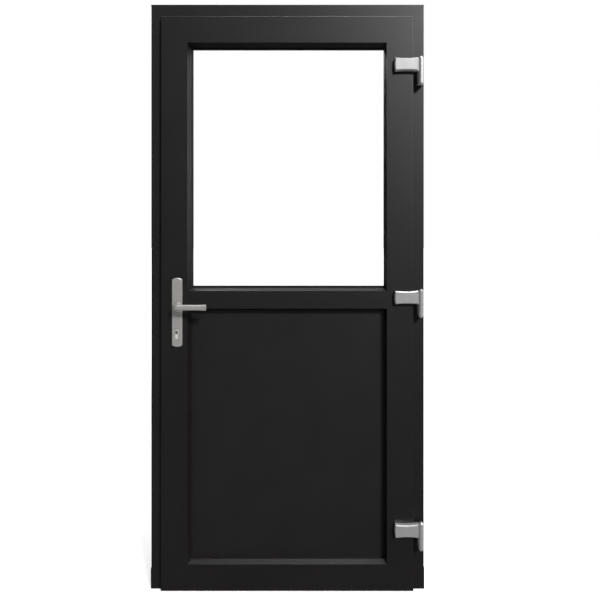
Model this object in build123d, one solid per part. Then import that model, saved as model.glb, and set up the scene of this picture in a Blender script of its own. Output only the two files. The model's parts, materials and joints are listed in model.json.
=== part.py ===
from build123d import *
from math import atan, degrees, sqrt
import os

# Half-glazed plastic entrance door in its frame, hinged on the right and opening towards the viewer.
# Millimetres. X runs across the width, Y from the front to the back, Z up from the floor.
# The origin is on the floor, in the middle of the frame's width and depth.

# Frame
frame_width = 980.0
frame_height = 2100.0
frame_depth = 70.0
jamb_face = 48.0            # outer side of a jamb to its rebate floor
head_face = 57.0            # top of the head to its rebate floor
frame_lip = 20.0            # height of the stop lip above the rebate floor
frame_lip_depth = 16.5
frame_edge_radius = 2.5

# Leaf
leaf_depth = 70.0
leaf_face = 84.0            # lip edge to glazing rebate
leaf_lip = 20.0             # how far the front lip stands out past the leaf's body
leaf_edge_radius = 3.0
hardware_gap = 12.0         # rebate floor to the leaf's body
seal_gap = 3.5              # room for a gasket between leaf and frame
floor_gap = 3.6             # lip edge to the floor
mid_rail_face = 42.0
mid_rail_z = 1041.0

# Hollow sections
outer_wall = 2.8
inner_web = 1.6
steel_thick = 2.0
steel_play = 0.3
hardware_chamber = 9.6      # depth of the chamber behind the rebate floor
leaf_edge_chamber = 8.2
skin_chamber = 6.6          # depth of the frame's front and back chambers
leaf_skin_chamber = 8.6

# Gaskets and seals
gasket_width = 6.0
gasket_foot = 2.0
gasket_foot_depth = 2.4
gasket_inset = 1.0          # lip edge to gasket
play = 0.3                  # clearance between pieces that only come close

# Glazing
pane_thick = 4.0
cavity_thick = 16.0
spacer_width = 7.0
spacer_inset = 1.0
edge_room = 5.0             # glass edge to rebate floor
glazing_lip = 17.0
glazing_lip_depth = 11.0
glazing_seal = 3.0          # soft ridge that the pane beds on
glazing_seal_width = 8.0
packer_length = 100.0
packer_from_corner = 70.0

# Beads
bead_width = 18.5
bead_flat = 10.5            # flat part beside the leaf's face
bead_step = 1.2             # step from the flat down to the slope
bead_drop = 0.2             # flat part behind the leaf's face
bead_nose = 9.0             # upright part beside the glass
bead_wall = 1.4
clip_depth = 2.4            # foot of a bead, and the groove that holds it
clip_width = 3.6
clip_from_front = 8.0

# Threshold and foot plates
threshold_height = 20.0
threshold_front_height = 12.0
threshold_nose = 4.0
threshold_fall = 5.5        # the top slopes down by this to the front
threshold_wall = 2.2
threshold_cells = 4
bottom_seal_width = 8.0
foot_plate_height = 75.0
foot_plate_thick = 2.0
foot_plate_seat = 0.5       # the plates are let into the frame's sides by this

# Hinges
hinge_spacing = 825.0
hinge_mid_z = 1050.0
hinge_axis_from_side = 14.0
hinge_axis_proud = 9.0      # axis in front of the leaf's face
knuckle_radius = 9.0
pin_radius = 4.0
pin_play = 0.05
block_length = 83.4
block_to_axis = 11.0        # right end of the block to the axis
block_height = 46.6
block_waist = 2.2           # the long edges curve in by this
block_bulge = 2.6           # the left end curves out by this
block_proud = 19.0
block_chamfer = 3.2
neck_proud = 12.0
hinge_cap_height = 6.0
hinge_split = 0.5           # gap between the two knuckles
foot_length = 42.0
foot_cone = 6.0
foot_width = 22.0
hinge_stud_radius = 3.0
hinge_stud_depth = 9.0
hinge_stud_spacing = 22.0
lug_length = 24.0           # locating lug behind each hinge block
lug_height = 12.0
lug_depth = 9.0
lug_from_end = 24.0

# Lock
backset = 40.0              # lock edge to spindle
spindle_z = 1019.0
cylinder_drop = 92.0        # spindle to cylinder
case_depth = 57.0
case_thick = 16.0
case_wall = 1.5
case_above = 36.0           # spindle to the case's top
case_below = 32.0           # cylinder to the case's bottom
faceplate_width = 20.0
faceplate_thick = 3.0
faceplate_above = 65.0      # spindle to the faceplate's top
faceplate_below = 97.0      # cylinder to the faceplate's bottom
bolt_thick = 12.0
latch_height = 28.0
latch_throw = 14.0
latch_body = 6.0            # part of the latch that stays inside
latch_tip = 2.0
latch_tail = 8.0
dead_height = 34.0
dead_throw = 20.0
dead_guide = 16.0           # part of the bolt that stays inside when it is thrown
dead_above_cylinder = 35.0
dead_chamfer = 1.5
follower_radius = 10.0
follower_flats = 8
journal_radius = 9.0
journal_play = 0.05
spindle_side = 8.0
spindle_play = 0.1
spindle_room = 1.3          # spindle's corners to the hole in the stile
screw_radius = 2.0
screw_length = 14.0
screw_head_radius = 3.8
screw_head_depth = 1.8
screw_from_end = 8.0
screw_play = 0.1

# Cylinder
profile_radius = 8.5
profile_height = 33.0
profile_width = 10.0
cylinder_proud = 2.0
plug_radius = 6.5
plug_play = 0.05
plug_proud = 0.6
cam_width = 10.0
cam_radius = 15.0
cam_hub_radius = 8.0
cam_tongue = 7.0
cam_play = 0.4
keyway_width = 2.4
keyway_height = 8.4
keyway_depth = 24.0
cylinder_screw_drop = 20.0
cylinder_screw_radius = 2.5

# Strike plate
strike_width = 22.0
strike_thick = 3.0
strike_room = 2.0           # room round each bolt
strike_margin = 40.0        # bolt hole to the plate's end

# Handles
plate_width = 36.0
plate_height = 245.0
plate_end_below_cylinder = 53.0
plate_thick = 9.0
plate_arch = 6.0
plate_corner = 4.0
plate_chamfer = 2.2
plate_wall = 2.5
collar_radius = 13.5
collar_proud = 2.0
plate_screw_radius = 2.5
plate_screw_from_end = 15.0
boss_radius = 5.0
lever_reach = 113.0
lever_proud = 50.0          # leaf's face to the grip's centre line
neck_radius = 9.0
grip_half_thick = 6.5
grip_half_height = 9.5
lever_bend = 15.0
flare_length = 24.0
flare_growth = 1.6
lever_socket = 27.0
grip_bevel = 4.0            # bevelled edges of the grip
lever_chamfer = 1.5

# Wall fixings
fixing_radius = 4.25
fixing_y = -5.0
fixing_first_z = 250.0
fixing_last_z = 1850.0
fixings_per_jamb = 4

# Places that follow from the sizes
half_width = frame_width / 2
frame_front = -frame_depth / 2
frame_back = frame_depth / 2
rebate_x = half_width - jamb_face
rebate_top = frame_height - head_face
lip_front = frame_back - frame_lip_depth
leaf_back = lip_front - seal_gap
leaf_front = leaf_back - leaf_depth
leaf_lip_back = frame_front - seal_gap
body_face = leaf_face - leaf_lip
leaf_x = rebate_x - hardware_gap
leaf_top = rebate_top - hardware_gap
leaf_bottom = floor_gap + leaf_lip
glazing_x = leaf_x - body_face
glazing_top = leaf_top - body_face
mid_top = mid_rail_z + mid_rail_face / 2
mid_bottom = mid_rail_z - mid_rail_face / 2
panel_bottom = leaf_bottom + body_face
unit_thick = 2 * pane_thick + cavity_thick
glazing_lip_front = leaf_back - glazing_lip_depth
unit_back = glazing_lip_front - glazing_seal
unit_front = unit_back - unit_thick
hinge_axis_x = half_width - hinge_axis_from_side
hinge_axis_y = leaf_front - hinge_axis_proud
block_right_x = hinge_axis_x - block_to_axis
block_left_x = block_right_x - block_length
hinge_heights = {"low": hinge_mid_z - hinge_spacing, "mid": hinge_mid_z, "top": hinge_mid_z + hinge_spacing}
lock_y = (leaf_front + leaf_back) / 2
lock_x = -leaf_x + backset
cylinder_z = spindle_z - cylinder_drop
dead_z = cylinder_z + dead_above_cylinder
dead_length = dead_throw + dead_guide
fixing_step = (fixing_last_z - fixing_first_z) / (fixings_per_jamb - 1)
fixing_heights = [fixing_first_z + step * fixing_step for step in range(fixings_per_jamb)]

frame_rect = (-rebate_x, rebate_x, 0.0, rebate_top)
leaf_rect = (-leaf_x, leaf_x, leaf_bottom, leaf_top)
glass_rect = (-glazing_x, glazing_x, mid_top, glazing_top)
panel_rect = (-glazing_x, glazing_x, panel_bottom, mid_bottom)


def cell(x0, x1, y0, y1):
    """Rectangle between two corners, in the plane of a section."""
    return Pos((x0 + x1) / 2, (y0 + y1) / 2) * Rectangle(x1 - x0, y1 - y0)


def block(x0, x1, y0, y1, z0, z1):
    """Box between two corners."""
    centre = ((x0 + x1) / 2, (y0 + y1) / 2, (z0 + z1) / 2)
    return Pos(*centre) * Box(x1 - x0, y1 - y0, z1 - z0)


def rod(start, direction, length, radius):
    """Round bar from a point along a direction."""
    return extrude(Plane(start, z_dir=direction) * Circle(radius), amount=length)


def cone(start, direction, length, radius, end_radius):
    """Round bar that narrows or widens evenly from one radius to another."""
    base = (Align.CENTER, Align.CENTER, Align.MIN)
    return Plane(start, z_dir=direction) * Cone(radius, end_radius, length, align=base)


def rounded(face, radius, *corners):
    """Round the corners of a section that lie nearest the given points."""
    picked = [face.vertices().sort_by_distance(Vector(x, y))[0] for x, y in corners]
    return fillet(picked, radius)


def side_line(side, rect):
    """Start corner, inward direction, running direction and length of one side of a rectangle."""
    x0, x1, z0, z1 = rect
    right, up = Vector(1, 0, 0), Vector(0, 0, 1)
    lines = {
        "left": (Vector(x0, 0, z0), right, up, z1 - z0),
        "top": (Vector(x0, 0, z1), -up, right, x1 - x0),
        "right": (Vector(x1, 0, z1), -right, -up, z1 - z0),
        "bottom": (Vector(x1, 0, z0), up, -right, x1 - x0),
    }
    return lines[side]


def bar(section, side, rect, outward=0.0, mitre_start=True, mitre_end=True):
    """Run a section along one side of a rectangle, with 45 degree mitres through its corners.

    The section's x is measured inwards from the rectangle, and its y is the part's Y.
    """
    start, inward, along, length = side_line(side, rect)
    before = outward if mitre_start else 0.0
    after = outward if mitre_end else 0.0
    base = Plane(start - along * before, x_dir=inward, z_dir=along)
    solid = extrude(base * section, amount=length + before + after)
    if mitre_start:
        solid = split(solid, Plane(start, z_dir=along - inward), keep=Keep.TOP)
    if mitre_end:
        solid = split(solid, Plane(start + along * length, z_dir=along + inward), keep=Keep.BOTTOM)
    return solid


def ring(section, rect, outward=0.0):
    """One closed strip round all four sides of a rectangle."""
    return Part() + [bar(section, side, rect, outward) for side in ("left", "top", "right", "bottom")]


def channel(section, side, rect, inset):
    """Reinforcement cut square, short of both mitres."""
    start, inward, along, length = side_line(side, rect)
    base = Plane(start + along * inset, x_dir=inward, z_dir=along)
    return extrude(base * section, amount=length - 2 * inset)


# Frame sections: x runs from the rebate floor towards the opening

def frame_outline(face_width):
    outline = cell(-face_width, 0, frame_front, frame_back) + cell(0, frame_lip, lip_front, frame_back)
    front_corners = [(-face_width, frame_front), (0, frame_front)]
    lip_corners = [(frame_lip, lip_front), (frame_lip, frame_back)]
    return rounded(outline, frame_edge_radius, *front_corners, *lip_corners)


def frame_chambers(face_width):
    """Steel chamber in the middle, with chambers behind the rebate floor, at the front and at the back."""
    outer = -face_width + outer_wall
    hardware = -outer_wall - hardware_chamber
    steel = hardware - inner_web
    front = frame_front + outer_wall
    back = frame_back - outer_wall
    front_web = front + skin_chamber
    back_web = back - skin_chamber
    return [
        cell(outer, steel, front_web + inner_web, back_web - inner_web),
        cell(hardware, -outer_wall, front, lip_front - outer_wall),
        cell(outer, steel, front, front_web),
        cell(outer, steel, back_web, back),
        cell(steel + inner_web, frame_lip - outer_wall, back_web, back),
    ]


def frame_gasket_x():
    """Gasket strip on the lip, over the leaf's edge."""
    high = frame_lip - gasket_inset
    return high - gasket_width, high


def gasket_groove(x0, x1, face, into):
    middle = (x0 + x1) / 2
    low, high = sorted((face, face + into * (gasket_foot_depth + play)))
    return cell(middle - gasket_foot / 2, middle + gasket_foot / 2, low, high)


def frame_section(face_width):
    low, high = frame_gasket_x()
    section = frame_outline(face_width) - frame_chambers(face_width)
    return section - gasket_groove(low, high, lip_front, 1)


def gasket_section(x0, x1, face, into):
    """Soft strip with a rounded crown, clipped into its groove by a narrow foot."""
    middle = (x0 + x1) / 2
    crown = face - into * (seal_gap - play)
    low, high = sorted((face, crown))
    strip = cell(x0, x1, low, high)
    strip = rounded(strip, (seal_gap - play) / 2, (x0, crown), (x1, crown))
    low, high = sorted((face, face + into * gasket_foot_depth))
    return strip + cell(middle - gasket_foot / 2, middle + gasket_foot / 2, low, high)


def frame_steel_section():
    outer = -jamb_face + outer_wall + steel_play
    inner = -outer_wall - hardware_chamber - inner_web - steel_play
    front = frame_front + outer_wall + skin_chamber + inner_web + steel_play
    return cell(outer, inner, front, -front) - cell(outer + steel_thick, inner, front + steel_thick,
                                                    -front - steel_thick)


# Leaf sections: x runs from the leaf's body edge towards the glass

def clip_groove(floor, direction):
    """Groove in a glazing rebate that takes the foot of a bead."""
    y0 = leaf_front + clip_from_front - play
    low, high = sorted((floor, floor - direction * (clip_depth + play)))
    return cell(low, high, y0, y0 + clip_width + 2 * play)


def glazing_step(floor, direction):
    """Back lip of a glazing rebate with its soft bedding ridge."""
    tip = floor + direction * glazing_lip
    ridge_out = tip - direction * gasket_inset * 2
    ridge_in = ridge_out - direction * glazing_seal_width
    low, high = sorted((floor, tip))
    lip = cell(low, high, glazing_lip_front, leaf_back)
    low, high = sorted((ridge_in, ridge_out))
    return lip + cell(low, high, unit_back, glazing_lip_front)


def leaf_outline():
    lip = cell(-leaf_lip, 0, leaf_front, leaf_lip_back)
    body = cell(0, body_face, leaf_front, leaf_back)
    outline = body + lip + glazing_step(body_face, 1)
    outline = rounded(outline, leaf_edge_radius, (-leaf_lip, leaf_front), (0, leaf_back))
    return outline - clip_groove(body_face, 1)


def leaf_webs():
    """Edges of the leaf's chambers: past the edge chamber, both ends of the steel chamber, inner end."""
    edge = outer_wall + leaf_edge_chamber
    steel_start = edge + inner_web
    inner_end = body_face - clip_depth - play - outer_wall
    steel_end = inner_end - leaf_edge_chamber
    return edge, steel_start, steel_end, inner_end


def leaf_chambers():
    edge, steel_start, steel_end, inner_end = leaf_webs()
    front = leaf_front + outer_wall
    front_web = front + leaf_skin_chamber
    back = leaf_back - outer_wall
    back_web = glazing_lip_front + outer_wall
    middle = (front_web + inner_web, back_web - inner_web)
    return [
        cell(outer_wall, edge, middle[0], back),
        cell(steel_start, steel_end, *middle),
        cell(steel_end + inner_web, inner_end, middle[0], glazing_lip_front),
        cell(outer_wall - leaf_lip, edge, front, front_web),
        cell(steel_start, steel_end, front, front_web),
        cell(steel_end + inner_web, inner_end, front, front_web),
        cell(steel_start, steel_end, back_web, back),
        cell(steel_end + inner_web, body_face + glazing_lip - outer_wall, back_web, back),
    ]


def leaf_gasket_x():
    low = -leaf_lip + gasket_inset
    return low, low + gasket_width


def leaf_section():
    low, high = leaf_gasket_x()
    return leaf_outline() - leaf_chambers() - gasket_groove(low, high, leaf_lip_back, -1)


def leaf_steel_section():
    edge, steel_start, steel_end, inner_end = leaf_webs()
    low = steel_start + steel_play
    high = steel_end - steel_play
    front = leaf_front + outer_wall + leaf_skin_chamber + inner_web + steel_play
    back = glazing_lip_front + outer_wall - inner_web - steel_play
    hollow = cell(low, high - steel_thick, front + steel_thick, back - steel_thick)
    return cell(low, high, front, back) - hollow


def mid_rail_outline():
    half = mid_rail_face / 2
    outline = cell(-half, half, leaf_front, leaf_back)
    for direction in (-1, 1):
        floor = direction * half
        outline = outline + glazing_step(floor, direction) - clip_groove(floor, direction)
    return outline


def mid_rail_steel_half():
    """Half the width of the mid rail's steel chamber."""
    return mid_rail_face / 2 - clip_depth - play - outer_wall - leaf_edge_chamber - inner_web


def mid_rail_section():
    half = mid_rail_face / 2
    steel = mid_rail_steel_half()
    inner = half - clip_depth - play - outer_wall
    front = leaf_front + outer_wall
    front_web = front + leaf_skin_chamber
    back = leaf_back - outer_wall
    back_web = glazing_lip_front + outer_wall
    chambers = [
        cell(-steel, steel, front_web + inner_web, back_web - inner_web),
        cell(-inner, inner, front, front_web),
        cell(-half - glazing_lip + outer_wall, half + glazing_lip - outer_wall, back_web, back),
    ]
    for direction in (-1, 1):
        low, high = sorted((direction * (steel + inner_web), direction * inner))
        chambers.append(cell(low, high, front_web + inner_web, glazing_lip_front))
    return mid_rail_outline() - chambers


def bead_section():
    """Snap-in bead: flat edge, shadow step, long slope to the glass, soft lip and clip foot."""
    front = leaf_front + bead_drop
    nose = unit_front - bead_nose
    outline = make_face(Polyline(
        (0, unit_front), (0, front), (bead_flat, front), (bead_flat, front + bead_step),
        (bead_flat + bead_drop, front + bead_step), (bead_width, nose), (bead_width, unit_front), close=True))
    foot_y = leaf_front + clip_from_front
    foot = cell(-clip_depth, 0, foot_y, foot_y + clip_width)
    slope = (nose - front - bead_step) / (bead_width - bead_flat - bead_drop)
    hollow_front = foot_y + clip_width
    hollow_x = bead_flat + bead_drop + (hollow_front - front - bead_step) / slope - bead_wall
    hollow = make_face(Polyline(
        (bead_wall, hollow_front), (hollow_x, hollow_front), (bead_width - bead_wall, nose + bead_wall),
        (bead_width - bead_wall, unit_front - bead_wall), (bead_wall, unit_front - bead_wall), close=True))
    return outline + foot - hollow


def profile_cylinder(growth=0.0):
    """Outline of the lock cylinder: a round head over a narrow round-ended web."""
    foot = profile_width / 2
    centre = profile_height - profile_radius - foot
    web = Pos(0, -centre / 2) * Rectangle(profile_width + 2 * growth, centre)
    return Circle(profile_radius + growth) + web + Pos(0, -centre) * Circle(foot + growth)


def face_plane(x, z, y=leaf_front):
    """Plane on the leaf's front, with its normal towards the viewer."""
    return Plane((x, y, z), x_dir=(1, 0, 0), z_dir=(0, -1, 0))


def through_leaf(section, x, z):
    """Cut a section right through the leaf from front to back."""
    return extrude(face_plane(x, z) * section, amount=-leaf_depth)


def to_back(part):
    """Mirror a piece of the front handle to the back of the leaf."""
    return mirror(part, about=Plane((0, lock_y, 0), z_dir=(0, 1, 0)))


def screw(head, direction, length, radius, head_radius, head_depth):
    """Countersunk screw, its head at the given point."""
    return rod(head, direction, length, radius) + cone(head, direction, head_depth, head_radius, radius)


def screw_seat(head, direction, length, radius, head_radius, head_depth):
    """Hole that fits a countersunk screw."""
    bore = radius + screw_play
    countersink = cone(head, direction, head_depth, head_radius + screw_play, bore)
    return rod(head, direction, length + play, bore) + countersink


small_screw = (screw_length, screw_radius, screw_head_radius, screw_head_depth)


# Lock pieces

def case_box(growth=0.0):
    x0 = -leaf_x + faceplate_thick
    return block(x0 - growth, -leaf_x + faceplate_thick + case_depth + growth,
                 lock_y - case_thick / 2 - growth, lock_y + case_thick / 2 + growth,
                 cylinder_z - case_below - growth, spindle_z + case_above + growth)


def faceplate_box(growth=0.0):
    return block(-leaf_x, -leaf_x + faceplate_thick, lock_y - faceplate_width / 2 - growth,
                 lock_y + faceplate_width / 2 + growth, cylinder_z - faceplate_below - growth,
                 spindle_z + faceplate_above + growth)


def bolt_way(z, height, reach, growth):
    """Space that a bolt slides in, from the rebate to a given depth behind the lock edge."""
    return block(-leaf_x - hardware_gap, -leaf_x + reach, lock_y - bolt_thick / 2 - growth,
                 lock_y + bolt_thick / 2 + growth, z - height / 2 - growth, z + height / 2 + growth)


def faceplate_screw_heads():
    low = cylinder_z - faceplate_below + screw_from_end
    high = spindle_z + faceplate_above - screw_from_end
    return [(-leaf_x, lock_y, low), (-leaf_x, lock_y, high)]


cylinder_screw_head = (-leaf_x, lock_y, cylinder_z - cylinder_screw_drop)
cylinder_screw_size = (backset + cylinder_screw_radius, cylinder_screw_radius, profile_width / 2,
                       faceplate_thick)


def lock_case():
    wall = case_wall
    case = case_box() - case_box(-wall)
    holes = Part() + [
        through_leaf(Circle(journal_radius), lock_x, spindle_z),
        through_leaf(profile_cylinder(spindle_play), lock_x, cylinder_z),
        bolt_way(spindle_z, latch_height, faceplate_thick + 2 * wall, play),
        bolt_way(dead_z, dead_height, faceplate_thick + 2 * wall, play),
        screw_seat(cylinder_screw_head, (1, 0, 0), *cylinder_screw_size),
    ]
    return case - holes


def lock_faceplate():
    plate = faceplate_box()
    plate = fillet(plate.edges().filter_by(Axis.X), faceplate_width / 4)
    plate -= bolt_way(spindle_z, latch_height, faceplate_thick, play)
    plate -= bolt_way(dead_z, dead_height, faceplate_thick, play)
    plate -= screw_seat(cylinder_screw_head, (1, 0, 0), *cylinder_screw_size)
    for head in faceplate_screw_heads():
        plate -= screw_seat(head, (1, 0, 0), *small_screw)
    return plate


def faceplate_screws():
    return Part() + [screw(head, (1, 0, 0), *small_screw) for head in faceplate_screw_heads()]


def latch_bolt():
    """Sprung latch with its slope towards the back, where it meets the frame as the leaf closes."""
    front, back = lock_y - bolt_thick / 2, lock_y + bolt_thick / 2
    tip = -leaf_x - latch_throw
    inner = -leaf_x + latch_body
    head = make_face(Polyline((inner, front), (tip, front), (tip, front + latch_tip),
                              (-leaf_x - play, back), (inner, back), close=True))
    low = spindle_z - latch_height / 2
    head = extrude(Plane((0, 0, low)) * head, amount=latch_height)
    tail = block(inner, inner + latch_tail, lock_y - bolt_thick / 4, lock_y + bolt_thick / 4,
                 spindle_z - latch_height / 4, spindle_z + latch_height / 4)
    return head + tail


def dead_bolt():
    front, back = lock_y - bolt_thick / 2, lock_y + bolt_thick / 2
    low, high = dead_z - dead_height / 2, dead_z + dead_height / 2
    bolt = block(-leaf_x, -leaf_x + dead_length, front, back, low, high)
    return chamfer(bolt.faces().sort_by(Axis.X)[0].edges(), dead_chamfer)


def follower():
    """Hub that the spindle turns, on journals in the sides of the case."""
    inside = case_thick - 2 * case_wall - 2 * play
    start = face_plane(lock_x, spindle_z, lock_y + inside / 2)
    hub = extrude(start * RegularPolygon(follower_radius, follower_flats), amount=inside)
    journal = journal_radius - journal_play
    hub += rod((lock_x, lock_y - case_thick / 2, spindle_z), (0, 1, 0), case_thick, journal)
    side = spindle_side + spindle_play
    return hub - through_leaf(Rectangle(side, side), lock_x, spindle_z)


def lever_depth():
    """Depth of the spindle's end in front of the leaf."""
    return plate_thick + collar_proud + lever_socket - play


def spindle():
    reach = leaf_depth + 2 * lever_depth()
    plane = face_plane(lock_x, spindle_z, leaf_front - lever_depth())
    return extrude(plane * Rectangle(spindle_side, spindle_side), amount=-reach)


def cylinder_body():
    front = leaf_front - plate_thick - cylinder_proud
    length = 2 * (lock_y - front)
    body = extrude(face_plane(lock_x, cylinder_z, front) * profile_cylinder(), amount=-length)
    body -= extrude(face_plane(lock_x, cylinder_z, front) * Circle(plug_radius + plug_play), amount=-length)
    room = cam_radius + cam_play
    body -= block(lock_x - room, lock_x + room, lock_y - cam_width / 2, lock_y + cam_width / 2,
                  cylinder_z - room, cylinder_z + room)
    return body - screw_seat(cylinder_screw_head, (1, 0, 0), *cylinder_screw_size)


def plug(with_cam):
    """Turning core with its keyway, and the cam that throws the bolt."""
    front = leaf_front - plate_thick - cylinder_proud - plug_proud
    inner = lock_y - cam_width / 2 - play
    core = rod((lock_x, front, cylinder_z), (0, 1, 0), inner - front, plug_radius)
    if with_cam:
        half = cam_width / 2 - play
        core += rod((lock_x, inner, cylinder_z), (0, 1, 0), lock_y + half - inner, plug_radius)
        cam = rod((lock_x, lock_y - half, cylinder_z), (0, 1, 0), 2 * half, cam_hub_radius)
        tongue = block(lock_x - cam_tongue / 2, lock_x + cam_tongue / 2, lock_y - half, lock_y + half,
                       cylinder_z - cam_radius, cylinder_z)
        core += cam + tongue
    keyway = Pos(0, -plug_radius + keyway_height / 2) * Rectangle(keyway_width, keyway_height)
    return core - extrude(face_plane(lock_x, cylinder_z, front) * keyway, amount=-keyway_depth)


# Handle pieces, made at the front and mirrored to the back

plate_centre_z = cylinder_z - plate_end_below_cylinder + plate_height / 2
plate_screw_heights = [plate_centre_z + side * (plate_height / 2 - plate_screw_from_end) for side in (-1, 1)]


def plate_outline():
    half = plate_width / 2
    end = plate_height / 2
    shoulder = end - plate_arch
    outline = make_face([
        Line((-half, -shoulder), (-half, shoulder)),
        ThreePointArc((-half, shoulder), (0, end), (half, shoulder)),
        Line((half, shoulder), (half, -shoulder)),
        ThreePointArc((half, -shoulder), (0, -end), (-half, -shoulder)),
    ])
    return fillet(outline.vertices(), plate_corner)


def handle_plate():
    """Long cast plate, hollow behind, with a collar for the lever and a boss for each fixing screw."""
    base = face_plane(lock_x, plate_centre_z)
    plate = extrude(base * plate_outline(), amount=plate_thick)
    plate = chamfer(plate.faces().sort_by(Axis.Y)[0].edges(), plate_chamfer)
    hollow = Rectangle(plate_width - 2 * plate_wall, plate_height - 2 * (plate_arch + plate_wall))
    plate -= extrude(base * hollow, amount=plate_thick - plate_wall)
    collar = extrude(face_plane(lock_x, spindle_z) * Circle(collar_radius), amount=plate_thick + collar_proud)
    plate += chamfer(collar.faces().sort_by(Axis.Y)[0].edges(), collar_proud / 2)
    for z in plate_screw_heights:
        plate += extrude(face_plane(lock_x, z) * Circle(boss_radius), amount=plate_thick - plate_wall / 2)
    depth = plate_thick + collar_proud
    plate -= extrude(face_plane(lock_x, spindle_z) * Circle(journal_radius), amount=depth)
    return plate - extrude(face_plane(lock_x, cylinder_z) * profile_cylinder(play), amount=depth)


def plate_screw_depth():
    return leaf_depth + plate_thick + plate_thick / 2


def plate_screw_size():
    return plate_screw_depth(), plate_screw_radius, 2 * plate_screw_radius, plate_screw_radius


def plate_screw_head(z):
    return lock_x, leaf_back + plate_thick, z


def plate_screws():
    return Part() + [screw(plate_screw_head(z), (0, -1, 0), *plate_screw_size()) for z in plate_screw_heights]


def screwed(plate):
    """A handle plate with the holes of its two fixing screws."""
    for z in plate_screw_heights:
        plate -= screw_seat(plate_screw_head(z), (0, -1, 0), *plate_screw_size())
    return plate


def grip_section():
    section = Rectangle(2 * grip_half_thick, 2 * grip_half_height)
    return chamfer(section.vertices(), grip_bevel)


def lever():
    """Neck, bend and grip in one casting, with a flared end."""
    journal = leaf_front - plate_wall
    turn_y = leaf_front - lever_proud
    start_y = turn_y + lever_bend
    neck = rod((lock_x, journal, spindle_z), (0, -1, 0), journal - start_y, neck_radius - journal_play)
    bend_x = lock_x + lever_bend
    bend_axis = Axis((bend_x, start_y, spindle_z), (0, 0, 1))
    bend = revolve(face_plane(lock_x, spindle_z, start_y) * grip_section(), bend_axis, 90)
    along = Plane((bend_x, turn_y, spindle_z), x_dir=(0, 1, 0), z_dir=(1, 0, 0))
    straight = lever_reach - lever_bend - flare_length
    grip = extrude(along * grip_section(), amount=straight)
    widening = degrees(atan(flare_growth / flare_length))
    flare = extrude(along.offset(straight) * grip_section(), amount=flare_length, taper=-widening)
    flare = chamfer(flare.faces().sort_by(Axis.X)[-1].edges(), lever_chamfer)
    side = spindle_side + spindle_play
    socket = extrude(face_plane(lock_x, spindle_z) * Rectangle(side, side), amount=lever_depth() + play)
    return neck + bend + grip + flare - socket


# Hinge pieces

def hinge_block_outline():
    half = block_height / 2
    middle = (block_left_x + block_right_x) / 2
    left = block_left_x + block_bulge
    return make_face([
        ThreePointArc((left, half), (middle, half - block_waist), (block_right_x, half + block_waist / 2)),
        Line((block_right_x, half + block_waist / 2), (block_right_x, -half)),
        ThreePointArc((block_right_x, -half), (middle, -half + block_waist), (left, -half)),
        ThreePointArc((left, -half), (block_left_x, 0), (left, half)),
    ])


def foot_studs(x, z, y):
    """Two fixing screws that stand back from a hinge foot into the jamb behind it."""
    studs = Part()
    for height in (z - hinge_stud_spacing / 2, z + hinge_stud_spacing / 2):
        studs += rod((x, y, height), (0, 1, 0), hinge_stud_depth, hinge_stud_radius)
    return studs


def hinge_lug(z):
    """Lug that a hinge block stands in the stile with."""
    start = block_left_x + lug_from_end
    return block(start, start + lug_length, leaf_front, leaf_front + lug_depth, z - lug_height / 2,
                 z + lug_height / 2)


def hinge_leaf(z):
    """Cast block on the leaf with a recessed neck, its knuckle, a cap and a lug behind."""
    base = face_plane(0, z)
    body = extrude(base * hinge_block_outline(), amount=block_proud)
    body = chamfer(body.faces().sort_by(Axis.Y)[0].edges(), block_chamfer)
    low, high = -block_height / 2, block_height / 2
    neck = block(block_right_x - block_chamfer, hinge_axis_x, leaf_front - neck_proud, leaf_front - play,
                 z + low, z + high)
    knuckle = rod((hinge_axis_x, hinge_axis_y, z + low), (0, 0, 1), block_height, knuckle_radius)
    cap = cone((hinge_axis_x, hinge_axis_y, z + high), (0, 0, 1), hinge_cap_height, knuckle_radius,
               knuckle_radius / 2)
    bore = rod((hinge_axis_x, hinge_axis_y, z + low), (0, 0, 1), block_height, pin_radius + pin_play)
    return body + neck + knuckle + cap + hinge_lug(z) - bore


def foot_range(z):
    top = z - block_height / 2 - hinge_split
    return top - foot_length, top


def foot_stud_place(z):
    low, high = foot_range(z)
    return hinge_axis_x, (low + high) / 2


def hinge_foot(z):
    """Lower knuckle on a foot that stands on the frame, with a conical end."""
    low, high = foot_range(z)
    knuckle = rod((hinge_axis_x, hinge_axis_y, low), (0, 0, 1), high - low, knuckle_radius)
    end = cone((hinge_axis_x, hinge_axis_y, low), (0, 0, -1), foot_cone, knuckle_radius, knuckle_radius / 2)
    half = foot_width / 2
    outline = make_face(Polyline(
        (hinge_axis_x - knuckle_radius, hinge_axis_y), (hinge_axis_x - half, frame_front),
        (hinge_axis_x + half, frame_front), (hinge_axis_x + knuckle_radius, hinge_axis_y), close=True))
    base = extrude(Plane((0, 0, low)) * outline, amount=high - low)
    bore = rod((hinge_axis_x, hinge_axis_y, low), (0, 0, 1), high - low, pin_radius + pin_play)
    x, middle = foot_stud_place(z)
    studs = foot_studs(x, middle, frame_front - hinge_stud_depth / 2)
    return base + knuckle + end - bore - studs


def hinge_pin(z):
    low, high = foot_range(z)[0], z + block_height / 2
    return rod((hinge_axis_x, hinge_axis_y, low), (0, 0, 1), high - low, pin_radius)


def hinge_foot_screws():
    screws = Part()
    for z in hinge_heights.values():
        x, middle = foot_stud_place(z)
        screws += foot_studs(x, middle, frame_front - hinge_stud_depth / 2)
    return screws


# Glazing pieces

def pane(y0, thick, rect):
    x0, x1, z0, z1 = rect
    return block(x0 + edge_room, x1 - edge_room, y0, y0 + thick, z0 + edge_room, z1 - edge_room)


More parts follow.
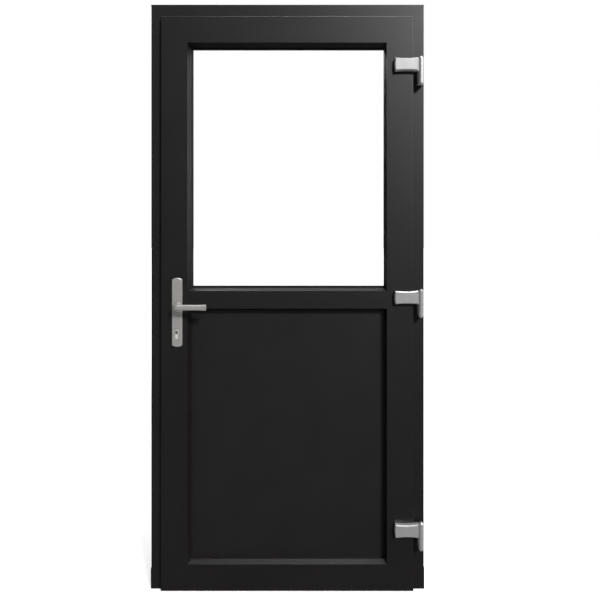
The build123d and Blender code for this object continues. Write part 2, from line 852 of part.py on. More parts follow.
def packers():
    """Support blocks under and over the glass and the panel, near their corners."""
    blocks = Part()
    for x0, x1, z0, z1 in (glass_rect, panel_rect):
        for x in (x0 + packer_from_corner, x1 - packer_from_corner - packer_length):
            for z in (z0, z1 - edge_room):
                blocks += block(x, x + packer_length, unit_front, unit_back, z, z + edge_room)
    return blocks


def threshold():
    """Hollow aluminium sill that falls towards the front, coped round the jambs' lips."""
    top, front = threshold_height, threshold_front_height
    nose_top = top - threshold_fall
    outline = make_face(Polyline(
        (frame_front, 0), (frame_front, front), (frame_front + threshold_nose, nose_top), (lip_front, top),
        (frame_back, top), (frame_back, 0), close=True))
    pitch = (frame_depth - threshold_wall) / threshold_cells
    for number in range(threshold_cells):
        start = frame_front + threshold_wall + number * pitch
        outline -= cell(start, start + pitch - threshold_wall, 0, front - threshold_wall)
    base = Plane((-rebate_x, 0, 0), x_dir=(0, 1, 0), z_dir=(1, 0, 0))
    return extrude(base * outline, amount=2 * rebate_x)


def bottom_seal():
    """Flap under the leaf that closes the gap over the threshold."""
    start = lock_y + bottom_seal_width / 2
    rise = threshold_fall * (start + bottom_seal_width - frame_front - threshold_nose)
    top_z = threshold_height - threshold_fall + rise / (lip_front - frame_front - threshold_nose)
    half = leaf_x - hardware_gap
    seal = block(-half, half, start, start + bottom_seal_width, top_z + play, leaf_bottom)
    return fillet(seal.edges().filter_by(Axis.X).group_by(Axis.Z)[0], bottom_seal_width / 4)


def strike_heights():
    low = dead_z - dead_height / 2 - strike_margin
    high = spindle_z + latch_height / 2 + strike_margin
    return low, high


def strike_heads():
    low, high = strike_heights()
    x = -rebate_x + strike_thick
    return [(x, lock_y, low + screw_from_end), (x, lock_y, high - screw_from_end)]


def bolt_pockets():
    """Openings for both bolts in the strike plate and in the wall of the jamb."""
    pockets = Part()
    for z, height in ((spindle_z, latch_height), (dead_z, dead_height)):
        half = bolt_thick / 2 + strike_room
        pockets += block(-rebate_x - outer_wall, -rebate_x + strike_thick, lock_y - half, lock_y + half,
                         z - height / 2 - strike_room, z + height / 2 + strike_room)
    return pockets


def strike_plate():
    low, high = strike_heights()
    plate = block(-rebate_x, -rebate_x + strike_thick, lock_y - strike_width / 2, lock_y + strike_width / 2,
                  low, high)
    plate = fillet(plate.edges().filter_by(Axis.X), strike_width / 4)
    plate -= bolt_pockets()
    for head in strike_heads():
        plate -= screw_seat(head, (-1, 0, 0), *small_screw)
    return plate


def strike_screws():
    return Part() + [screw(head, (-1, 0, 0), *small_screw) for head in strike_heads()]


def wall_fixings():
    """Holes right through both jambs for the screws that hold the frame in the wall."""
    starts = [(-half_width, fixing_y, z) for z in fixing_heights]
    return Part() + [rod(start, (1, 0, 0), frame_width, fixing_radius) for start in starts]


def foot_plate(side):
    inner = half_width - foot_plate_seat
    x0, x1 = sorted((side * inner, side * (inner + foot_plate_thick)))
    plate = block(x0, x1, frame_front, frame_back, 0, foot_plate_height)
    return fillet(plate.edges().filter_by(Axis.X).group_by(Axis.Z)[-1], frame_edge_radius)


def foot_plate_seats():
    """Shallow housings in the frame's sides that the foot plates sit in."""
    inner = half_width - foot_plate_seat
    seats = block(inner, half_width, frame_front, frame_back, 0, foot_plate_height)
    return seats + block(-half_width, -inner, frame_front, frame_back, 0, foot_plate_height)


def three_sides(section, rect, start_z):
    """Gasket up one jamb, along the head and down the other jamb."""
    strip = bar(section, "left", rect, mitre_start=False) + bar(section, "top", rect)
    strip += bar(section, "right", rect, mitre_end=False)
    return split(strip, Plane((0, 0, start_z)), keep=Keep.TOP)


def frame_pieces():
    pieces = {}
    overrun = jamb_face
    cuts = wall_fixings() + foot_plate_seats()
    pieces["head_bar"] = bar(frame_section(head_face), "top", frame_rect, overrun)
    left = bar(frame_section(jamb_face), "left", frame_rect, overrun, mitre_start=False) - cuts
    right = bar(frame_section(jamb_face), "right", frame_rect, overrun, mitre_end=False) - cuts
    left -= bolt_pockets()
    for head in strike_heads():
        left -= screw_seat(head, (-1, 0, 0), *small_screw)
    for z in hinge_heights.values():
        x, middle = foot_stud_place(z)
        right -= foot_studs(x, middle, frame_front - hinge_stud_depth / 2)
    pieces["jamb_left"] = left
    pieces["jamb_right"] = right
    envelope = bar(frame_outline(jamb_face), "left", frame_rect, overrun, mitre_start=False)
    envelope += bar(frame_outline(jamb_face), "right", frame_rect, overrun, mitre_end=False)
    pieces["threshold"] = threshold() - envelope
    for side in ("left", "right"):
        pieces["jamb_steel_" + side] = channel(frame_steel_section(), side, frame_rect, jamb_face) - cuts
    pieces["foot_plate_left"] = foot_plate(-1)
    pieces["foot_plate_right"] = foot_plate(1)
    low, high = frame_gasket_x()
    gasket = gasket_section(low, high, lip_front, 1)
    pieces["frame_gasket"] = three_sides(gasket, frame_rect, threshold_height)
    pieces["strike_plate"] = strike_plate()
    pieces["strike_screws"] = strike_screws()
    for name, z in hinge_heights.items():
        pieces["hinge_foot_" + name] = hinge_foot(z)
    pieces["hinge_pins"] = Part() + [hinge_pin(z) for z in hinge_heights.values()]
    pieces["hinge_foot_screws"] = hinge_foot_screws()
    return pieces


def handle_holes(part):
    """Holes in a lock stile, or in its steel, for the spindle, the cylinder and the plate screws."""
    part -= through_leaf(Circle(spindle_side / sqrt(2) + spindle_room), lock_x, spindle_z)
    part -= through_leaf(profile_cylinder(play), lock_x, cylinder_z)
    for z in plate_screw_heights:
        part -= through_leaf(Circle(plate_screw_radius + 2 * play), lock_x, z)
    return part


def leaf_bars():
    pieces = {}
    names = {"left": "lock_stile", "top": "top_rail", "right": "hinge_stile", "bottom": "bottom_rail"}
    inset = leaf_webs()[2] + steel_play
    for side, name in names.items():
        pieces[name] = bar(leaf_section(), side, leaf_rect, leaf_lip)
        pieces[name + "_steel"] = channel(leaf_steel_section(), side, leaf_rect, inset)
    stile = handle_holes(pieces["lock_stile"]) - faceplate_box() - case_box()
    for head in faceplate_screw_heads():
        stile -= screw_seat(head, (1, 0, 0), *small_screw)
    pieces["lock_stile"] = stile
    pieces["lock_stile_steel"] = handle_holes(pieces["lock_stile_steel"]) - case_box(play)
    for z in hinge_heights.values():
        pieces["hinge_stile"] -= hinge_lug(z)
    step = cell(body_face, body_face + glazing_lip, unit_back, leaf_back)
    base = Plane((-glazing_x, 0, mid_rail_z), x_dir=(0, 0, -1), z_dir=(1, 0, 0))
    rail = extrude(base * mid_rail_section(), amount=2 * glazing_x)
    for side in ("left", "right"):
        rail -= bar(step, side, leaf_rect, leaf_lip)
    pieces["mid_rail"] = rail
    half = mid_rail_steel_half() - steel_play
    front = leaf_front + outer_wall + leaf_skin_chamber + inner_web + steel_play
    back = glazing_lip_front + outer_wall - inner_web - steel_play
    hollow = cell(-half + steel_thick, half, front + steel_thick, back - steel_thick)
    steel = cell(-half, half, front, back) - hollow
    base = Plane((-glazing_x + glazing_lip, 0, mid_rail_z), x_dir=(0, 0, -1), z_dir=(1, 0, 0))
    pieces["mid_rail_steel"] = extrude(base * steel, amount=2 * (glazing_x - glazing_lip))
    return pieces


def glazing_pieces():
    pieces = {}
    pieces["front_pane"] = pane(unit_front, pane_thick, glass_rect)
    pieces["rear_pane"] = pane(unit_back - pane_thick, pane_thick, glass_rect)
    spacer_y = unit_front + pane_thick
    section = cell(edge_room + spacer_inset, edge_room + spacer_inset + spacer_width, spacer_y,
                   spacer_y + cavity_thick)
    pieces["pane_spacer"] = ring(section, glass_rect)
    pieces["lower_panel"] = pane(unit_front, unit_thick, panel_rect)
    pieces["glazing_packers"] = packers()
    for opening, rect in (("glass", glass_rect), ("panel", panel_rect)):
        for side in ("left", "top", "right", "bottom"):
            pieces[opening + "_bead_" + side] = bar(bead_section(), side, rect, clip_depth)
    return pieces


def leaf_pieces():
    pieces = leaf_bars()
    pieces.update(glazing_pieces())
    low, high = leaf_gasket_x()
    pieces["leaf_gasket"] = ring(gasket_section(low, high, leaf_lip_back, -1), leaf_rect, leaf_lip)
    pieces["bottom_seal"] = bottom_seal()
    pieces["lock_case"] = lock_case()
    pieces["lock_faceplate"] = lock_faceplate()
    pieces["faceplate_screws"] = faceplate_screws()
    pieces["cylinder_body"] = cylinder_body()
    pieces["cylinder_screw"] = screw(cylinder_screw_head, (1, 0, 0), *cylinder_screw_size)
    pieces["plate_front"] = screwed(handle_plate())
    pieces["plate_rear"] = screwed(to_back(handle_plate()))
    pieces["plate_screws"] = plate_screws()
    for name, z in hinge_heights.items():
        pieces["hinge_leaf_" + name] = hinge_leaf(z)
    return pieces


def moving_pieces():
    return {
        "lever_front": lever(),
        "lever_rear": to_back(lever()),
        "spindle": spindle(),
        "follower": follower(),
        "latch_bolt": latch_bolt(),
        "dead_bolt": dead_bolt(),
        "key_plug_front": plug(with_cam=True),
        "key_plug_rear": to_back(plug(with_cam=False)),
    }


os.makedirs("parts", exist_ok=True)
for pieces in (frame_pieces(), leaf_pieces(), moving_pieces()):
    for name, piece in pieces.items():
        export_step(piece, os.path.join("parts", name + ".step"))
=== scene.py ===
import bmesh
import bpy
import json
import math
from mathutils import Matrix, Vector


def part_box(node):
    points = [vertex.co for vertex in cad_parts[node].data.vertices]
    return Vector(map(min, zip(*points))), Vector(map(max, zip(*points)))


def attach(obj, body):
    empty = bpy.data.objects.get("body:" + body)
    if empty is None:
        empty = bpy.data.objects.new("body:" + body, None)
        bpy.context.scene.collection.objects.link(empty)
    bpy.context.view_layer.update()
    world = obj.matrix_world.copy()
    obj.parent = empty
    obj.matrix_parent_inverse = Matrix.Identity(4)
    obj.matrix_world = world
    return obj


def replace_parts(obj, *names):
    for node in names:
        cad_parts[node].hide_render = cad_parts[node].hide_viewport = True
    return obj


# Half-glazed entrance door in its frame, dark foil with silver hinges and handles.
# Metres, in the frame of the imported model: X to the hinge side, Y to the back, Z up.

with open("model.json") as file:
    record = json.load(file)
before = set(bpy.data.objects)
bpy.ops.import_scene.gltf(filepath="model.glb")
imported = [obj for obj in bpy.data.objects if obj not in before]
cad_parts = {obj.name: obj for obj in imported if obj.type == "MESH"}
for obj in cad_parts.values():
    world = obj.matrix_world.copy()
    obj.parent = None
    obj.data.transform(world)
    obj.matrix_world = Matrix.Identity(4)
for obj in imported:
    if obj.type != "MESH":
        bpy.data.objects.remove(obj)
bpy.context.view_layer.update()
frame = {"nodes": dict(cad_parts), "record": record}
nodes = frame["nodes"]
body_of = {node: body for body, held in frame["record"]["behaviour"]["bodies"].items() for node in held}

# Camera, worked out from the picture: the point that it looks at is off the middle of the image
picture_size = 600
principal_x = 334
principal_y = 236.5
focal_pixels = 562.0
sensor = 36.0
camera_place = (0.167, -2.055, 1.266)

# Colours, as linear values
foil_dark = (0.0039, 0.0032, 0.0031)
foil_light = (0.0050, 0.0042, 0.0041)
panel_dark = (0.0048, 0.0040, 0.0043)
panel_light = (0.0061, 0.0051, 0.0055)
silver = (0.375, 0.375, 0.378)
satin = (0.290, 0.285, 0.280)
nickel = (0.72, 0.70, 0.66)
plug_nickel = (0.42, 0.41, 0.39)
zinc = (0.50, 0.52, 0.54)
sill_grey = (0.030, 0.030, 0.032)
rubber_black = (0.008, 0.008, 0.008)
glass_tint = (0.998, 1.0, 0.999)
packer_blue = (0.03, 0.09, 0.26)

# Noise stays near its middle; colours and roughness are spread over this part of its range
noise_low = 0.3
noise_high = 0.7

# Radius of the rounded edges, and the facets across each
hinge_edge = 0.0012
plate_edge = 0.0008
lever_edge = 0.0015
cylinder_edge = 0.0004
sill_edge = 0.0008
edge_steps = 3

# Faces that meet at less than this many degrees are shaded as one smooth surface
smooth_below = 35

# Points of a mesh that are nearer than this are one point
same_point = 0.000002

# Screws that get a cross recess, with the way that their heads face
recessed_screws = {
    "plate_screws": "+Y",
    "strike_screws": "+X",
    "faceplate_screws": "-X",
    "cylinder_screw": "-X",
}

# Cross recess: reach and half width as shares of the head's radius, depth, and size at the bottom
recess_reach = 0.5
recess_half_width = 0.12
recess_depth = 0.0012
recess_taper = 0.7

# Rubber wedge between the front beads and the glass: how far it shows beyond them, its rise,
# where its rounded lip starts, as a share of the way inward, and the steps in that curve
wedge_at_sides = 0.0015
wedge_at_sill = 0.0086
wedge_at_top = 0.0010
wedge_rise = 0.0035
lip_start = 0.5
lip_steps = 5

# Studio: reflections see white towards this side, from one cosine up to another, else a dim room;
# the last value is how bright it is through glass
bright_side = (0.6, 0.6, 0.5)
bright_from = 0.2
bright_full = 0.6
dim_side = 0.024
world_through_glass = 1.2

# Floor: half its width, its shade, its shade in reflections, and its glow through glass
floor_half = 60.0
floor_shade = 0.9
floor_mirrored = 0.045
floor_through_glass = 1.3


class Surface:
    """A Principled material under construction, with its pattern in the object's own metres."""

    def __init__(self, name, roughness=0.5, metallic=0.0, **sockets):
        self.material = bpy.data.materials.new(name)
        self.material.use_nodes = True
        self.nodes = self.material.node_tree.nodes
        self.links = self.material.node_tree.links
        self.shader = self.nodes["Principled BSDF"]
        self.set("Roughness", roughness)
        self.set("Metallic", metallic)
        for socket, value in sockets.items():
            self.set(socket.replace("_", " "), value)
        self.place = self.nodes.new("ShaderNodeTexCoord").outputs["Object"]

    def set(self, socket, value):
        self.shader.inputs[socket].default_value = value

    def link(self, output, socket):
        self.links.new(output, self.shader.inputs[socket])

    def noise(self, scale, stretch=(1, 1, 1), detail=4.0, roughness=0.55):
        """Noise with its own scale along each axis."""
        mapping = self.nodes.new("ShaderNodeMapping")
        mapping.inputs["Scale"].default_value = stretch
        self.links.new(self.place, mapping.inputs["Vector"])
        noise = self.nodes.new("ShaderNodeTexNoise")
        noise.inputs["Scale"].default_value = scale
        noise.inputs["Detail"].default_value = detail
        noise.inputs["Roughness"].default_value = roughness
        self.links.new(mapping.outputs["Vector"], noise.inputs["Vector"])
        return noise.outputs["Fac"]

    def spread(self, value, low, high):
        """Map noise onto a range of numbers."""
        span = self.nodes.new("ShaderNodeMapRange")
        span.inputs["From Min"].default_value = noise_low
        span.inputs["From Max"].default_value = noise_high
        span.inputs["To Min"].default_value = low
        span.inputs["To Max"].default_value = high
        self.links.new(value, span.inputs["Value"])
        return span.outputs["Result"]

    def tones(self, value, dark, light):
        """Map noise onto the colours between two tones."""
        ramp = self.nodes.new("ShaderNodeValToRGB")
        low, high = ramp.color_ramp.elements
        low.position = noise_low
        low.color = (*dark, 1)
        high.position = noise_high
        high.color = (*light, 1)
        self.links.new(value, ramp.inputs["Fac"])
        return ramp.outputs["Color"]

    def bump(self, value, depth, below=None):
        """Raise the surface by up to a depth in metres, over an earlier bump."""
        bump = self.nodes.new("ShaderNodeBump")
        bump.inputs["Distance"].default_value = depth
        self.links.new(value, bump.inputs["Height"])
        if below is not None:
            self.links.new(below, bump.inputs["Normal"])
        return bump.outputs["Normal"]


def shades(color, spread):
    """A darker and a lighter tone of one colour."""
    return [c * (1 - spread) for c in color], [c * (1 + spread) for c in color]


def stretched(along, share):
    """Scales along the three axes for a pattern that is drawn out along one of them."""
    return [share if axis == along else 1.0 for axis in "XYZ"]


def foil(name, along, dark, light):
    """Laminated foil: matt, with a fine embossed grain that runs along the bar."""
    grain = stretched(along, share=0.06)
    surface = Surface(name, Specular_IOR_Level=0.55)
    cloud = surface.noise(scale=7.0, detail=3.0)
    surface.link(surface.tones(cloud, dark, light), "Base Color")
    gloss = surface.noise(scale=60.0, stretch=grain)
    surface.link(surface.spread(gloss, low=0.38, high=0.40), "Roughness")
    fibres = surface.noise(scale=1400.0, stretch=grain, detail=3.0, roughness=0.65)
    sand = surface.noise(scale=5200.0, detail=2.0)
    ridges = surface.bump(fibres, depth=0.00009)
    surface.link(surface.bump(sand, depth=0.00003, below=ridges), "Normal")
    return surface.material


def cast_metal(name, color, roughness, metallic, grain_depth):
    """Cast or coated metal with a faint orange peel and uneven gloss."""
    uneven = 0.05
    surface = Surface(name, metallic=metallic)
    dark, light = shades(color, spread=0.04)
    surface.link(surface.tones(surface.noise(scale=45.0), dark, light), "Base Color")
    gloss = surface.noise(scale=160.0)
    surface.link(surface.spread(gloss, roughness - uneven, roughness + uneven), "Roughness")
    peel = surface.noise(scale=2200.0, detail=2.0)
    surface.link(surface.bump(peel, grain_depth), "Normal")
    return surface.material


def brushed_metal(name, color, roughness, along):
    """Metal ground in one direction."""
    surface = Surface(name, metallic=1.0)
    dark, light = shades(color, spread=0.06)
    lines = surface.noise(scale=2600.0, stretch=stretched(along, share=0.02), detail=3.0)
    surface.link(surface.tones(lines, dark, light), "Base Color")
    surface.link(surface.spread(lines, low=roughness - 0.06, high=roughness + 0.08), "Roughness")
    surface.link(surface.bump(lines, depth=0.00002), "Normal")
    return surface.material


def rubber():
    """Matt black rubber of the seals."""
    surface = Surface("seal_rubber", roughness=0.6, Specular_IOR_Level=0.15)
    dark, light = shades(rubber_black, spread=0.3)
    surface.link(surface.tones(surface.noise(scale=90.0), dark, light), "Base Color")
    surface.link(surface.bump(surface.noise(scale=3000.0), depth=0.00003), "Normal")
    return surface.material


def glass():
    """Clear float glass with a faint unevenness from the rolls."""
    surface = Surface("pane_glass", roughness=0.0, IOR=1.5, Specular_IOR_Level=0.15)
    surface.set("Transmission Weight", 1.0)
    surface.set("Base Color", (*glass_tint, 1))
    waves = surface.noise(scale=2.5, stretch=(1, 1, 0.4), detail=1.0)
    surface.link(surface.bump(waves, depth=0.00002), "Normal")
    return surface.material


def moulded(name, color):
    """Plain moulded plastic."""
    surface = Surface(name, roughness=0.4)
    dark, light = shades(color, spread=0.1)
    surface.link(surface.tones(surface.noise(scale=30.0), dark, light), "Base Color")
    surface.link(surface.bump(surface.noise(scale=1800.0), depth=0.00002), "Normal")
    return surface.material


def foil_looks():
    """Foil of the bars and beads, with its grain along them, and of the panel."""
    upright = foil("foil_upright", "Z", foil_dark, foil_light)
    level = foil("foil_level", "X", foil_dark, foil_light)
    looks = {"head_bar": level, "lower_panel": foil("panel_foil", "Z", panel_dark, panel_light)}
    for name in ("jamb_left", "jamb_right", "lock_stile", "hinge_stile"):
        looks[name] = upright
    for name in ("top_rail", "mid_rail", "bottom_rail"):
        looks[name] = level
    for bead in ("glass_bead", "panel_bead"):
        looks[bead + "_left"] = looks[bead + "_right"] = upright
        looks[bead + "_top"] = looks[bead + "_bottom"] = level
    return looks


def metal_looks():
    """Coated hinges, satin handles, the nickel cylinder, the sill and the spacer in the glass."""
    hinge_coat = cast_metal("hinge_silver", silver, roughness=0.38, metallic=0.65, grain_depth=0.00002)
    handle = cast_metal("handle_satin", satin, roughness=0.38, metallic=0.5, grain_depth=0.00001)
    plug = cast_metal("plug_nickel", plug_nickel, roughness=0.25, metallic=0.8, grain_depth=0.000005)
    plated = cast_metal("nickel_plate", nickel, roughness=0.30, metallic=0.6, grain_depth=0.000005)
    looks = {
        "cylinder_body": plated,
        "threshold": brushed_metal("sill_anodised", sill_grey, roughness=0.42, along="X"),
        "pane_spacer": brushed_metal("spacer_metal", zinc, roughness=0.35, along="Z"),
    }
    for place in ("low", "mid", "top"):
        looks["hinge_leaf_" + place] = looks["hinge_foot_" + place] = hinge_coat
    for face in ("front", "rear"):
        looks["plate_" + face] = looks["lever_" + face] = handle
        looks["key_plug_" + face] = plug
    return looks


def soft_looks():
    """Glass, rubber and plastic."""
    seal = rubber()
    pane = glass()
    foot = moulded("foot_plastic", foil_light)
    return {
        "front_pane": pane, "rear_pane": pane,
        "frame_gasket": seal, "leaf_gasket": seal, "bottom_seal": seal,
        "foot_plate_left": foot, "foot_plate_right": foot,
        "glazing_packers": moulded("packer_plastic", packer_blue),
    }


def dress():
    """Give every CAD node its material; what has no look of its own is zinc plated steel."""
    steel = brushed_metal("lock_steel", zinc, roughness=0.32, along="Z")
    looks = {**foil_looks(), **metal_looks(), **soft_looks()}
    for name, obj in nodes.items():
        obj.data.materials.clear()
        obj.data.materials.append(looks.get(name, steel))


def object_from(form, name):
    """Turn a bmesh into an object."""
    mesh = bpy.data.meshes.new(name)
    form.to_mesh(mesh)
    form.free()
    obj = bpy.data.objects.new(name, mesh)
    bpy.context.scene.collection.objects.link(obj)
    return obj


def piece_from(form, name, like):
    """Turn a bmesh into a piece with the material and body of a CAD node."""
    obj = object_from(form, name)
    obj.data.materials.append(nodes[like].data.materials[0])
    obj.data.shade_smooth()
    obj.data.set_sharp_from_angle(angle=math.radians(smooth_below))
    flat = obj.modifiers.new("flat_faces", "WEIGHTED_NORMAL")
    flat.keep_sharp = True
    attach(obj, body_of[like])
    return obj


def copied(name):
    """Closed bmesh copy of a CAD node."""
    form = bmesh.new()
    form.from_mesh(nodes[name].data)
    bmesh.ops.remove_doubles(form, verts=form.verts, dist=same_point)
    return form


def softened(name, radius):
    """Stand in for a CAD node with a copy whose sharp edges are rounded off."""
    form = copied(name)
    bmesh.ops.dissolve_limit(form, angle_limit=math.radians(1), verts=form.verts, edges=form.edges)
    sharpest = math.radians(smooth_below)
    sharp = [e for e in form.edges if e.is_manifold and abs(e.calc_face_angle()) > sharpest]
    bmesh.ops.bevel(form, geom=sharp, offset=radius, segments=edge_steps, profile=0.5, affect="EDGES",
                    clamp_overlap=True, miter_outer="ARC", loop_slide=True)
    bmesh.ops.dissolve_degenerate(form, dist=same_point, edges=form.edges)
    bmesh.ops.triangulate(form, faces=form.faces)
    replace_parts(piece_from(form, name + "_soft", like=name), name)


def soften_hardware():
    """Round the edges of the hinges, handles, cylinder and threshold."""
    for part in ("leaf", "foot"):
        for place in ("low", "mid", "top"):
            softened(f"hinge_{part}_{place}", hinge_edge)
    for part, radius in (("plate", plate_edge), ("lever", lever_edge)):
        for face in ("front", "rear"):
            softened(f"{part}_{face}", radius)
    softened("cylinder_body", cylinder_edge)
    softened("threshold", sill_edge)


def islands(form):
    """Lowest and highest corner of each separate solid in a bmesh."""
    seen = set()
    for start in form.verts:
        if start in seen:
            continue
        seen.add(start)
        found = [start]
        for vert in found:
            beside = {edge.other_vert(vert) for edge in vert.link_edges} - seen
            seen |= beside
            found.extend(beside)
        yield [Vector(pick(v.co[k] for v in found) for k in range(3)) for pick in (min, max)]


def cross_cutter(form, low, high, axis, side):
    """Add a tapered cross that reaches into the head of the screw in this box."""
    middle = (low + high) / 2
    across, up = [k for k in range(3) if k != axis]
    radius = (high[up] - low[up]) / 2
    head = (high if side > 0 else low)[axis]
    rings = []
    for depth, scale in ((-recess_depth, 1.0), (recess_depth, recess_taper)):
        reach = radius * recess_reach * scale
        half = radius * recess_half_width * scale
        ring = []
        for quarter in range(4):
            turn = Matrix.Rotation(math.pi / 2 * quarter, 2)
            for corner in ((reach, -half), (reach, half), (half, half)):
                place = middle.copy()
                shift = turn @ Vector(corner)
                place[across] += shift[0]
                place[up] += shift[1]
                place[axis] = head - side * depth
                ring.append(form.verts.new(place))
        rings.append(ring)
    outside, inside = rings
    for corner in range(len(outside)):
        after = (corner + 1) % len(outside)
        form.faces.new((outside[corner], outside[after], inside[after], inside[corner]))
    form.faces.new(outside)
    form.faces.new(inside)


def cross_recessed(name, facing):
    """Stand in for a node of screws with a copy that has a cross recess in each head."""
    axis = "XYZ".index(facing[1])
    side = 1 if facing[0] == "+" else -1
    screws = copied(name)
    crosses = bmesh.new()
    for low, high in islands(screws):
        cross_cutter(crosses, low, high, axis, side)
    bmesh.ops.recalc_face_normals(crosses, faces=crosses.faces)
    whole = object_from(screws, "whole_screws")
    cutter = object_from(crosses, "cross_cutters")
    cut = whole.modifiers.new("recess", "BOOLEAN")
    cut.operation = "DIFFERENCE"
    cut.solver = "EXACT"
    cut.object = cutter
    form = bmesh.new()
    form.from_mesh(whole.evaluated_get(bpy.context.evaluated_depsgraph_get()).data)
    bpy.data.objects.remove(whole)
    bpy.data.objects.remove(cutter)
    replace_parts(piece_from(form, name + "_recessed", like=name), name)


def mitred_ring(outer, inner, profile):
    """Rectangular ring; a profile point is a share of the way inward and a place in Y."""
    corners = []
    for (left, bottom), (right, top) in (outer, inner):
        corners.append([(left, bottom), (right, bottom), (right, top), (left, top)])
    form = bmesh.new()
    rows = []
    for share, y in profile:
        row = []
        for (x0, z0), (x1, z1) in zip(*corners):
            row.append(form.verts.new((x0 + (x1 - x0) * share, y, z0 + (z1 - z0) * share)))
        rows.append(row)
    for row, following in zip(rows, rows[1:] + rows[:1]):
        for corner in range(len(row)):
            after = (corner + 1) % len(row)
            form.faces.new((row[corner], row[after], following[after], following[corner]))
    bmesh.ops.recalc_face_normals(form, faces=form.faces)
    return form


def glazing_wedge():
    """Black rubber wedge with a rounded lip, between the front beads and the glass."""
    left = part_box("glass_bead_left")[1][0]
    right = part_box("glass_bead_right")[0][0]
    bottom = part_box("glass_bead_bottom")[1][2]
    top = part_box("glass_bead_top")[0][2]
    glass_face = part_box("front_pane")[0][1]
    outer = (left, bottom), (right, top)
    low_corner = (left + wedge_at_sides, bottom + wedge_at_sill)
    high_corner = (right - wedge_at_sides, top - wedge_at_top)
    profile = [(0.0, glass_face), (0.0, glass_face - wedge_rise)]
    for step in range(lip_steps + 1):
        turn = math.pi / 2 * step / lip_steps
        share = lip_start + (1 - lip_start) * math.sin(turn)
        profile.append((share, glass_face - wedge_rise * math.cos(turn)))
    form = mitred_ring(outer, (low_corner, high_corner), profile)
    piece_from(form, "glazing_wedge_front", like="leaf_gasket")


def math_node(tree, operation, first, second):
    """Output of a math node; each input is an output or a number."""
    node = tree.nodes.new("ShaderNodeMath")
    node.operation = operation
    for socket, value in zip(node.inputs, (first, second)):
        if isinstance(value, (int, float)):
            socket.default_value = value
        else:
            tree.links.new(value, socket)
    return node.outputs[0]


def in_reflection(tree):
    """1 for a ray that was mirrored on its way, else 0."""
    depth = tree.nodes.new("ShaderNodeLightPath").outputs["Glossy Depth"]
    return math_node(tree, "GREATER_THAN", depth, 0.5)


def seen_rays(tree, through_glass, mirrored):
    """1 for camera rays, a weight for rays through glass and one for reflections, 0 for diffuse light.

    A reflection that goes on through the glass still counts as a reflection.
    """
    path = tree.nodes.new("ShaderNodeLightPath")
    reflected = in_reflection(tree)
    direct = math_node(tree, "SUBTRACT", 1.0, reflected)
    glass_ray = path.outputs["Is Transmission Ray"]
    straight = math_node(tree, "MULTIPLY", glass_ray, through_glass)
    straight = math_node(tree, "MAXIMUM", path.outputs["Is Camera Ray"], straight)
    straight = math_node(tree, "MULTIPLY", straight, direct)
    weight = math_node(tree, "MULTIPLY", reflected, mirrored)
    glossy = math_node(tree, "MAXIMUM", path.outputs["Is Glossy Ray"], glass_ray)
    glossy = math_node(tree, "MULTIPLY", glossy, weight)
    return math_node(tree, "MAXIMUM", straight, glossy)


def toward(tree, direction, low, high):
    """1 where a world ray runs near a direction, 0 where it runs away from it."""
    along = tree.nodes.new("ShaderNodeVectorMath")
    along.operation = "DOT_PRODUCT"
    along.inputs[1].default_value = Vector(direction).normalized()
    tree.links.new(tree.nodes.new("ShaderNodeTexCoord").outputs["Generated"], along.inputs[0])
    share = tree.nodes.new("ShaderNodeMapRange")
    share.interpolation_type = "SMOOTHSTEP"
    share.inputs["From Min"].default_value = low
    share.inputs["From Max"].default_value = high
    tree.links.new(along.outputs["Value"], share.inputs["Value"])
    return share.outputs["Result"]


def world_light(ambient):
    """White where it is seen, and where its bright side is mirrored; dim light elsewhere."""
    world = bpy.data.worlds.new("studio")
    bpy.context.scene.world = world
    world.use_nodes = True
    tree = world.node_tree
    mirrored = tree.nodes.new("ShaderNodeMapRange")
    mirrored.inputs["To Min"].default_value = dim_side
    tree.links.new(toward(tree, bright_side, bright_from, bright_full), mirrored.inputs["Value"])
    seen = seen_rays(tree, world_through_glass, mirrored.outputs["Result"])
    diffuse = tree.nodes.new("ShaderNodeLightPath").outputs["Is Diffuse Ray"]
    strength = math_node(tree, "MAXIMUM", seen, math_node(tree, "MULTIPLY", diffuse, ambient))
    back = tree.nodes["Background"]
    back.inputs["Color"].default_value = (1, 1, 1, 1)
    tree.links.new(strength, back.inputs["Strength"])


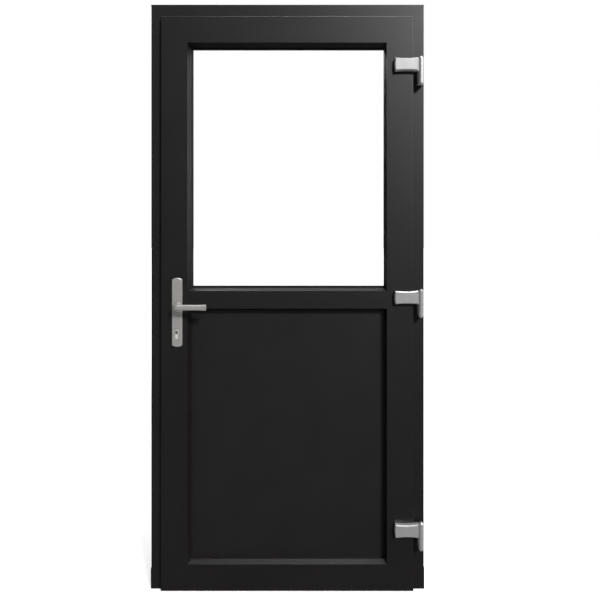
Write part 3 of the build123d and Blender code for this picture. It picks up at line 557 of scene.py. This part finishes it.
def floor_material(glow):
    """Pale matt floor with a glow of its own, darker where something mirrors it."""
    surface = Surface("floor_white", roughness=0.9, Specular_IOR_Level=0.0)
    tree = surface.material.node_tree
    shade = tree.nodes.new("ShaderNodeMix")
    shade.data_type = "RGBA"
    shade.inputs["A"].default_value = (floor_shade, floor_shade, floor_shade, 1)
    shade.inputs["B"].default_value = (floor_mirrored, floor_mirrored, floor_mirrored, 1)
    tree.links.new(in_reflection(tree), shade.inputs["Factor"])
    surface.link(next(o for o in shade.outputs if o.type == "RGBA"), "Base Color")
    emission = tree.nodes.new("ShaderNodeEmission")
    seen = seen_rays(tree, floor_through_glass, floor_mirrored)
    tree.links.new(math_node(tree, "MULTIPLY", seen, glow), emission.inputs["Strength"])
    both = tree.nodes.new("ShaderNodeAddShader")
    tree.links.new(surface.shader.outputs[0], both.inputs[0])
    tree.links.new(emission.outputs[0], both.inputs[1])
    tree.links.new(both.outputs[0], tree.nodes["Material Output"].inputs["Surface"])
    return surface.material


def floor(glow):
    """Floor that reads white and keeps the shadow."""
    reach = floor_half
    corners = [(-reach, -reach, 0), (reach, -reach, 0), (reach, reach, 0), (-reach, reach, 0)]
    mesh = bpy.data.meshes.new("floor")
    mesh.from_pydata(corners, [], [(0, 1, 2, 3)])
    mesh.materials.append(floor_material(glow))
    obj = bpy.data.objects.new("floor", mesh)
    bpy.context.scene.collection.objects.link(obj)


def sun(name, direction, power, spread):
    """Even light from far away; its strength is what falls on a surface that faces it."""
    data = bpy.data.lights.new(name, "SUN")
    data.energy = power
    data.angle = math.radians(spread)
    obj = bpy.data.objects.new(name, data)
    obj.rotation_euler = (-Vector(direction)).to_track_quat("-Z", "Y").to_euler()
    bpy.context.scene.collection.objects.link(obj)


def camera():
    """Level camera that keeps the uprights parallel, with the picture's framing by shift."""
    data = bpy.data.cameras.new("camera")
    data.sensor_width = sensor
    data.lens = focal_pixels / picture_size * sensor
    data.shift_x = (picture_size / 2 - principal_x) / picture_size
    data.shift_y = (principal_y - picture_size / 2) / picture_size
    obj = bpy.data.objects.new("camera", data)
    obj.location = camera_place
    obj.rotation_euler = (math.radians(90), 0, 0)
    bpy.context.scene.collection.objects.link(obj)
    bpy.context.scene.camera = obj


dress()
soften_hardware()
for screws, facing in recessed_screws.items():
    cross_recessed(screws, facing)
glazing_wedge()
world_light(ambient=0.12)
floor(glow=0.25)
sun("key", direction=(0.6, -1.0, 0.7), power=4.5, spread=12)
sun("overhead", direction=(0.05, -0.12, 1.0), power=1.7, spread=20)
sun("back_fill", direction=(-0.5, 1.0, 0.6), power=1.6, spread=20)
camera()
bpy.context.scene.view_settings.view_transform = "Standard"
